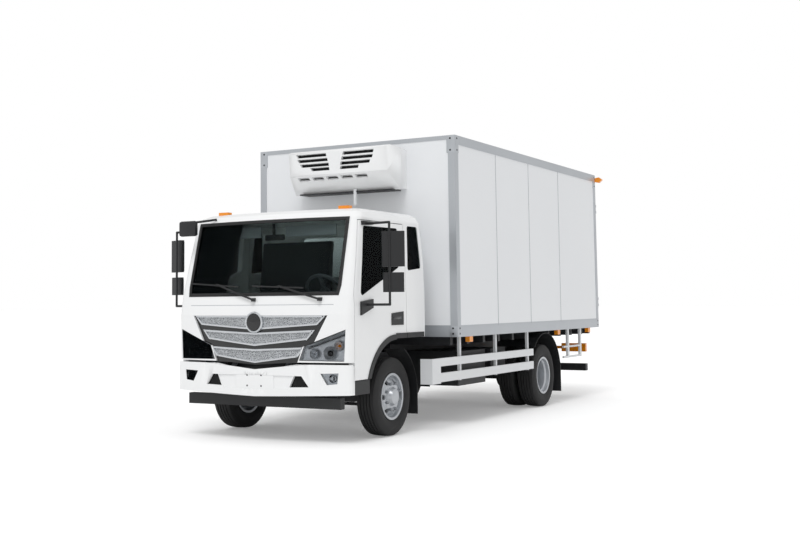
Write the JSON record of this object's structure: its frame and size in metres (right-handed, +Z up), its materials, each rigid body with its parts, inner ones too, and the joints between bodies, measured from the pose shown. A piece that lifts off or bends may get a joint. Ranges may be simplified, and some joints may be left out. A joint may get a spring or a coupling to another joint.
{
  "type": "box truck",
  "caption": "Box truck with a tilting cab, hinged doors, steered front wheels, twin rear wheels and an insulated box body with a cooling unit and hinged rear doors.",
  "frame": {"origin": "on the ground, below the middle of the truck's bounding box", "axes": "+Z up, the cab's front faces -Y, the truck's left side is +X"},
  "size_m": [2.8608, 6.8701, 3.1759],
  "materials": {
    "chassis_black": "satin",
    "box_white": "smooth",
    "rail_aluminium": "anodised",
    "unit_white": "smooth",
    "engine_grey": "cast",
    "bumper_white": "gloss",
    "guard_white": "anodised",
    "guard_steel": "galvanised",
    "black_plastic": "grained",
    "lamp_amber": "clear coloured",
    "cab_white": "gloss",
    "cab_inside": "grained",
    "window_glass": "tinted",
    "grille_black": "gloss",
    "lamp_clear": "clear",
    "lamp_clear_roof": "clear",
    "dash_plastic": "grained",
    "seat_fabric": "woven",
    "rim_silver": "satin",
    "tyre_rubber": "matte"
  },
  "bodies": {
    "chassis": {"frame": "chassis_black", "subframe": "chassis_black", "box_floor": "box_white", "box_roof": "box_white", "box_front_wall": "box_white", "box_side_left": "box_white", "box_side_right": "box_white", "box_rails": "rail_aluminium", "fridge_unit": "unit_white", "leaf_springs": "chassis_black", "front_axle": "chassis_black", "rear_axle": "chassis_black", "engine": "engine_grey", "front_bumper": "bumper_white", "underrun_bars": "chassis_black", "side_guards": "guard_white", "rear_guards": "guard_steel", "front_mudguards": "black_plastic", "rear_mudguards": "black_plastic", "side_gear": "chassis_black", "lamps": "lamp_amber"},
    "cab": {"cab_front": "cab_white", "cab_side_left": "cab_white", "cab_side_right": "cab_white", "cab_back": "cab_white", "cab_roof": "cab_white", "cab_floor": "cab_inside", "cab_glass": "window_glass", "grille": "grille_black", "headlamps": "lamp_clear", "cab_trim": "black_plastic", "dashboard": "dash_plastic", "seats": "seat_fabric", "wipers": "black_plastic", "roof_lamps": "lamp_clear_roof"},
    "door_left": {"door_left": "cab_white", "door_glass_left": "window_glass", "door_fittings_left": "black_plastic"},
    "cargo_door_left": {"cargo_door_left": "box_white"},
    "knuckle_left": {"knuckle_left": "chassis_black"},
    "front_wheel_left": {"front_rim_left": "rim_silver", "front_tyre_left": "tyre_rubber"},
    "rear_wheels_left": {"rear_rims_left": "rim_silver", "rear_tyres_left": "tyre_rubber"},
    "door_right": {"door_right": "cab_white", "door_glass_right": "window_glass", "door_fittings_right": "black_plastic"},
    "cargo_door_right": {"cargo_door_right": "box_white"},
    "knuckle_right": {"knuckle_right": "chassis_black"},
    "front_wheel_right": {"front_rim_right": "rim_silver", "front_tyre_right": "tyre_rubber"},
    "rear_wheels_right": {"rear_rims_right": "rim_silver", "rear_tyres_right": "tyre_rubber"},
    "tie_rod": {"tie_rod": "chassis_black"}
  },
  "joints": [
    {"name": "cab_tilt", "type": "hinge", "parent": "chassis", "child": "cab", "pos_m": [0, -3.36, 0.68], "axis": [1, 0, 0], "range_deg": [0, 45]},
    {"name": "door_hinge_left", "type": "hinge", "parent": "cab", "child": "door_left", "pos_m": [1.035, -3.228, 1.385], "axis": [0, 0, -1], "range_deg": [0, 70]},
    {"name": "cargo_hinge_left", "type": "hinge", "parent": "chassis", "child": "cargo_door_left", "pos_m": [1.268, 3.411, 2.08], "axis": [0, 0, -1], "range_deg": [0, 270]},
    {"name": "steer_left", "type": "hinge", "parent": "chassis", "child": "knuckle_left", "pos_m": [0.79, -2.4, 0.3985], "axis": [0, 0, 1], "range_deg": [-35, 35]},
    {"name": "front_spin_left", "type": "hinge", "parent": "knuckle_left", "child": "front_wheel_left", "pos_m": [0.8875, -2.4, 0.3985], "axis": [1, 0, 0], "continuous": true},
    {"name": "rear_spin_left", "type": "hinge", "parent": "chassis", "child": "rear_wheels_left", "pos_m": [0.965, 1.335, 0.3985], "axis": [1, 0, 0], "continuous": true},
    {"name": "door_hinge_right", "type": "hinge", "parent": "cab", "child": "door_right", "pos_m": [-1.035, -3.228, 1.385], "axis": [0, 0, 1], "range_deg": [0, 70]},
    {"name": "cargo_hinge_right", "type": "hinge", "parent": "chassis", "child": "cargo_door_right", "pos_m": [-1.268, 3.411, 2.08], "axis": [0, 0, 1], "range_deg": [0, 270]},
    {"name": "steer_right", "type": "hinge", "parent": "chassis", "child": "knuckle_right", "pos_m": [-0.79, -2.4, 0.3985], "axis": [0, 0, 1], "range_deg": [-35, 35]},
    {"name": "front_spin_right", "type": "hinge", "parent": "knuckle_right", "child": "front_wheel_right", "pos_m": [-0.8875, -2.4, 0.3985], "axis": [1, 0, 0], "continuous": true},
    {"name": "rear_spin_right", "type": "hinge", "parent": "chassis", "child": "rear_wheels_right", "pos_m": [-0.965, 1.335, 0.3985], "axis": [1, 0, 0], "continuous": true},
    {"name": "tie_rod_swing", "type": "hinge", "parent": "knuckle_left", "child": "tie_rod", "pos_m": [0.79, -2.27, 0.295], "axis": [0, 0, 1], "range_deg": [-35, 35]}
  ],
  "couplings": [
    {"joint": "steer_right", "follows": "steer_left", "ratio": 1},
    {"joint": "tie_rod_swing", "follows": "steer_left", "ratio": -1}
  ]
}
